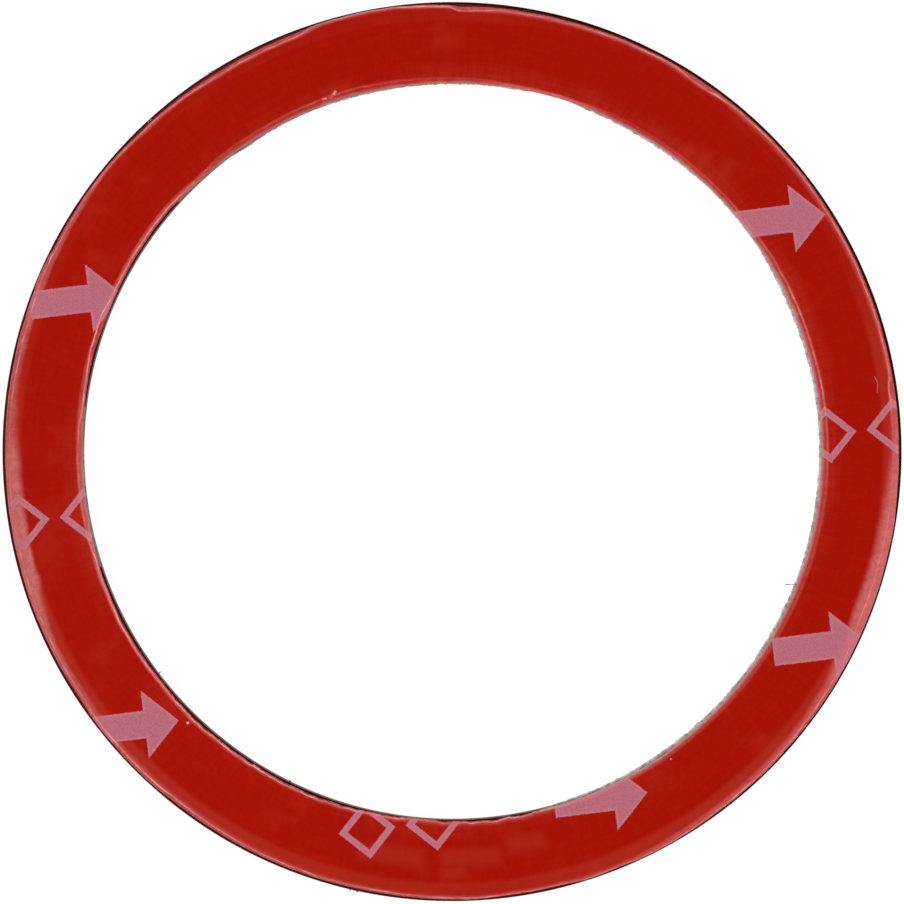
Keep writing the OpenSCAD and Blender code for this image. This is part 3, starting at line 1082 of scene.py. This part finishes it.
def adhesive_crumbs(finish):
    """Crumbs of adhesive that cling to the rims."""
    bpy.ops.object.select_all(action="DESELECT")
    lumps = []
    for degrees, radius, height, size, paleness in CRUMBS:
        a = math.radians(degrees)
        at = Vector((radius * math.cos(a), radius * math.sin(a), height)) * MM
        bpy.ops.mesh.primitive_ico_sphere_add(subdivisions=3, radius=size * MM, location=at)
        lump = bpy.context.object
        settle()
        for vertex in lump.data.vertices:
            swell = 1 + CRUMB_SWELL * noise.noise(vertex.co * CRUMB_GRAIN)
            vertex.co = at + (vertex.co - at) * swell
        set_level(lump.data, "towards_tip", [paleness] * len(lump.data.vertices))
        lumps.append(lump)
    for lump in lumps:
        lump.select_set(True)
    bpy.context.view_layer.objects.active = lumps[0]
    bpy.ops.object.join()
    crumbs = bpy.context.object
    crumbs.name = crumbs.data.name = "adhesive_crumbs"
    smooth_shading(crumbs, 60)
    dress(crumbs, finish, "acrylic_foam")


def tacky_strand():
    material, f, shader, place = new_material("tacky strand")
    grain = place_group(f, fine_grain, Place=place, Scale=9000.0, Amount=0.8)
    colour = f.blend(f.math("ADD", 0.5, grain["Value"]), rgb(96, 92, 66), rgb(168, 162, 130))
    f.join(colour, shader.inputs["Base Color"])
    shader.inputs["Roughness"].default_value = 0.35
    return material


def adhesive_strand():
    """The strand that sticks out into the hole, drawn out of the tape from foot to tip."""
    foot = Vector(STRAND_FOOT) * MM
    tip = Vector(STRAND_TIP) * MM
    bpy.ops.object.select_all(action="DESELECT")
    bpy.ops.mesh.primitive_circle_add(
        vertices=8, radius=STRAND_RADIUS * MM, fill_type="NGON", location=foot
    )
    strand = bpy.context.object
    strand.name = strand.data.name = "adhesive_strand"
    strand.rotation_euler = (0, math.radians(90), 0)
    settle()
    bpy.ops.object.mode_set(mode="EDIT")
    bpy.ops.mesh.select_all(action="SELECT")
    at = foot
    for k, thick in enumerate(STRAND_THICKNESS, 1):
        share = k / len(STRAND_THICKNESS)
        sideways, arch = STRAND_SIDEWAYS * math.sin(share * 5), STRAND_ARCH * math.sin(share * 3)
        there = foot.lerp(tip, share) + Vector((0, sideways, arch)) * MM
        bpy.ops.mesh.extrude_region_move(TRANSFORM_OT_translate={"value": there - at})
        bpy.ops.transform.resize(value=(1, thick, thick), center_override=there)
        at = there
    bpy.ops.mesh.select_all(action="SELECT")
    bpy.ops.mesh.normals_make_consistent(inside=False)
    bpy.ops.object.mode_set(mode="OBJECT")
    smooth_shading(strand, 60)
    dress(strand, tacky_strand(), "acrylic_foam")


# Floor, lamps and camera

# Lengths in metres
FLOOR_SIZE = 4
FLOOR_GAP = 0.00001
FLOOR_GREY = 0.9, 0.9, 0.9, 1
# The floor glows white to the camera, and mostly so in reflections, with a little shade let through
FLOOR_GLOW = 1.08
FLOOR_GLOW_SHARE = 0.88
# Lamps as (name, place, size, power), with the power in watts
LAMPS = (
    ("key lamp", (-0.84, -0.4, 0.84), 0.6, 15.2), ("fill lamp", (0.4, 0.3, 0.5), 0.4, 1.25),
)
# Light from all round, and what the camera sees past the floor
SURROUNDINGS = 0.3, 0.3, 0.3, 1
BACKDROP = 1, 1, 1, 1
CAMERA_HEIGHT = 0.19
CAMERA_BELOW_MIDDLE = 0.000025
NEAREST_SEEN = 0.01
FARTHEST_SEEN = 20
# Size and scale of the photo, and the camera's sensor
PHOTO_SIZE = 904
PHOTO_PX_PER_MM = 16.06
SENSOR_MM = 36.0


def pale_floor():
    bpy.ops.object.select_all(action="DESELECT")
    bpy.ops.mesh.primitive_plane_add(size=FLOOR_SIZE, location=(0, 0, cad_low.z - FLOOR_GAP))
    floor = bpy.context.object
    floor.name = floor.data.name = "floor"
    material = bpy.data.materials.new("white floor")
    material.use_nodes = True
    f = Finish(material.node_tree)
    f.nodes.clear()
    output = f.add("ShaderNodeOutputMaterial")
    diffuse = f.add("ShaderNodeBsdfDiffuse")
    diffuse.inputs["Color"].default_value = FLOOR_GREY
    glow = f.add("ShaderNodeEmission")
    glow.inputs["Strength"].default_value = FLOOR_GLOW
    rays = f.add("ShaderNodeLightPath")
    seen = f.math("MAXIMUM", rays.outputs["Is Camera Ray"], rays.outputs["Is Glossy Ray"])
    seen = f.math("MAXIMUM", seen, rays.outputs["Is Transmission Ray"])
    f.mix_to(output, f.math("MULTIPLY", seen, FLOOR_GLOW_SHARE), diffuse, glow)
    floor.data.materials.append(material)


def lamp(name, place, size, power):
    """A round lamp that shines at the middle of the plate."""
    data = bpy.data.lights.new(name, "AREA")
    data.shape = "DISK"
    data.size = size
    data.energy = power
    thing = bpy.data.objects.new(name, data)
    bpy.context.scene.collection.objects.link(thing)
    thing.location = place
    thing.rotation_euler = (-Vector(place)).to_track_quat("-Z", "Y").to_euler()


def light_the_table():
    for row in LAMPS:
        lamp(*row)
    world = bpy.data.worlds.new("studio")
    bpy.context.scene.world = world
    world.use_nodes = True
    f = Finish(world.node_tree)
    f.nodes.clear()
    output = f.add("ShaderNodeOutputWorld")
    plain, white = f.add("ShaderNodeBackground"), f.add("ShaderNodeBackground")
    plain.inputs["Color"].default_value = SURROUNDINGS
    white.inputs["Color"].default_value = BACKDROP
    rays = f.add("ShaderNodeLightPath")
    f.mix_to(output, rays.outputs["Is Camera Ray"], plain, white)


def set_camera():
    data = bpy.data.cameras.new("camera")
    camera = bpy.data.objects.new("camera", data)
    bpy.context.scene.collection.objects.link(camera)
    camera.location = (0, -CAMERA_BELOW_MIDDLE, CAMERA_HEIGHT)
    data.sensor_width = SENSOR_MM
    seen = PHOTO_SIZE / PHOTO_PX_PER_MM * MM
    data.lens = SENSOR_MM * (CAMERA_HEIGHT - steel_top) / seen
    data.clip_start = NEAREST_SEEN
    data.clip_end = FARTHEST_SEEN
    bpy.context.scene.camera = camera
    bpy.context.scene.view_settings.view_transform = "Standard"


steel_plate()
foam_ring()
torn = torn_adhesive_painted_lit()
adhesive_fringe(torn)
release_film()
adhesive_strand()
adhesive_crumbs(torn)
pale_floor()
light_the_table()
set_camera()
